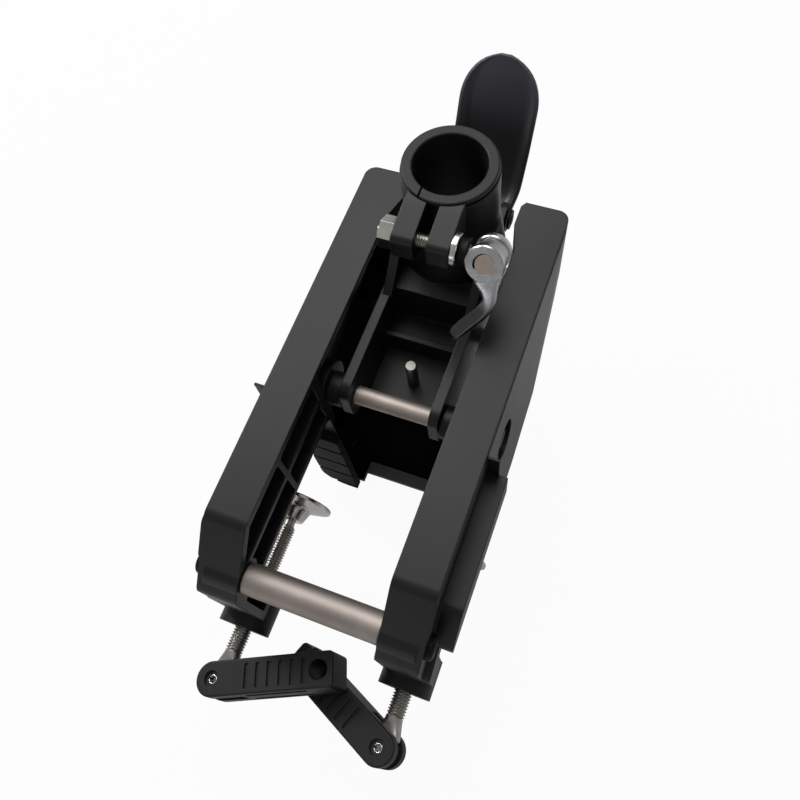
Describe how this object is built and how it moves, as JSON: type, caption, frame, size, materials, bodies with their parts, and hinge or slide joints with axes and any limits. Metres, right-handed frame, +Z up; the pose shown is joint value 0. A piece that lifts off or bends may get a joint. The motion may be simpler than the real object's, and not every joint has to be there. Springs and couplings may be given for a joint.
{
  "type": "trolling motor clamp bracket",
  "caption": "Clamp-on transom bracket with folding-handle screws, a tilting split collar for a round motor shaft, a cam lever and a lock paddle.",
  "frame": {"origin": "on the motor shaft's axis, level with the arms' top faces", "axes": "+Z up along the shaft, +Y outboard away from the boat, +X across to the right arm"},
  "size_m": [0.108, 0.2833, 0.1682],
  "materials": {
    "cast_paint": "satin black powder coat over die-cast aluminium",
    "satin_steel": "satin stainless steel",
    "plate_steel": "dark grey coated steel plate",
    "bright_steel": "polished stainless steel",
    "cam_aluminium": "cast and tumbled",
    "black_nylon": "moulded",
    "handle_nylon": "moulded, fine grain",
    "pad_rubber": "moulded ridges"
  },
  "bodies": {
    "frame": {"left_clamp_arm": "cast_paint", "right_clamp_arm": "cast_paint", "front_tie_tube": "satin_steel", "tie_tube_screws": "bright_steel", "lower_cross_plate": "plate_steel", "cross_plate_screws": "bright_steel", "rest_bar": "satin_steel", "left_transom_pad": "pad_rubber", "right_transom_pad": "pad_rubber", "tilt_pivot_bolt": "satin_steel", "tilt_pivot_nut": "bright_steel", "pivot_spacers": "black_nylon"},
    "tilting_bracket": {"tilt_bracket": "cast_paint", "pivot_bushes": "black_nylon", "tilt_stop_pin": "satin_steel", "shaft_bushing": "black_nylon", "collar_bolt": "bright_steel", "collar_nut": "bright_steel", "collar_washer": "bright_steel", "cam_seat": "cam_aluminium", "cam_pin": "bright_steel", "lever_pivot_pin": "satin_steel", "lever_pin_clips": "bright_steel", "lever_spring": "bright_steel"},
    "cam_lever": {"quick_release_lever": "cam_aluminium"},
    "lock_lever": {"tilt_lock_lever": "handle_nylon"},
    "left_pad": {"left_clamp_pad": "bright_steel"},
    "left_screw": {"left_clamp_screw": "bright_steel"},
    "left_handle": {"left_screw_handle": "handle_nylon", "left_handle_pin": "bright_steel"},
    "right_pad": {"right_clamp_pad": "bright_steel"},
    "right_screw": {"right_clamp_screw": "bright_steel"},
    "right_handle": {"right_screw_handle": "handle_nylon", "right_handle_pin": "bright_steel"}
  },
  "joints": [
    {"name": "tilt_pivot", "type": "hinge", "parent": "frame", "child": "tilting_bracket", "pos_m": [0, -0.0769, -0.0254], "axis": [1, 0, 0], "range_deg": [0, 85]},
    {"name": "cam_lever_turn", "type": "hinge", "parent": "tilting_bracket", "child": "cam_lever", "pos_m": [0.0256, -0.0304, 0.028], "axis": [0, -0.829, 0.5592], "range_deg": [0, 170]},
    {"name": "lock_lever_press", "type": "hinge", "parent": "tilting_bracket", "child": "lock_lever", "pos_m": [0, 0.03, -0.03], "axis": [1, 0, 0], "range_deg": [-30, 0], "stiffness_Nm_per_rad": 0.1, "springref_deg": 20.05},
    {"name": "left_pad_slide", "type": "slide", "parent": "frame", "child": "left_pad", "axis": [0, 1, 0], "range_m": [-0.0344, 0]},
    {"name": "left_screw_turn", "type": "hinge", "parent": "left_pad", "child": "left_screw", "pos_m": [-0.0375, -0.13, -0.074], "axis": [0, 1, 0], "range_deg": [-9896, 0]},
    {"name": "left_handle_fold", "type": "hinge", "parent": "left_screw", "child": "left_handle", "pos_m": [-0.0375, -0.2024, -0.074], "axis": [0.2419, 0, -0.9703], "range_deg": [0, 226]},
    {"name": "right_pad_slide", "type": "slide", "parent": "frame", "child": "right_pad", "axis": [0, 1, 0], "range_m": [-0.0344, 0]},
    {"name": "right_screw_turn", "type": "hinge", "parent": "right_pad", "child": "right_screw", "pos_m": [0.0375, -0.13, -0.074], "axis": [0, 1, 0], "range_deg": [-9896, 0]},
    {"name": "right_handle_fold", "type": "hinge", "parent": "right_screw", "child": "right_handle", "pos_m": [0.0375, -0.2024, -0.074], "axis": [-0.2419, 0, 0.9703], "range_deg": [0, 226]}
  ],
  "couplings": [
    {"joint": "left_pad_slide", "follows": "left_screw_turn", "m_per_rad": 0.00019894},
    {"joint": "right_pad_slide", "follows": "right_screw_turn", "m_per_rad": 0.00019894}
  ]
}
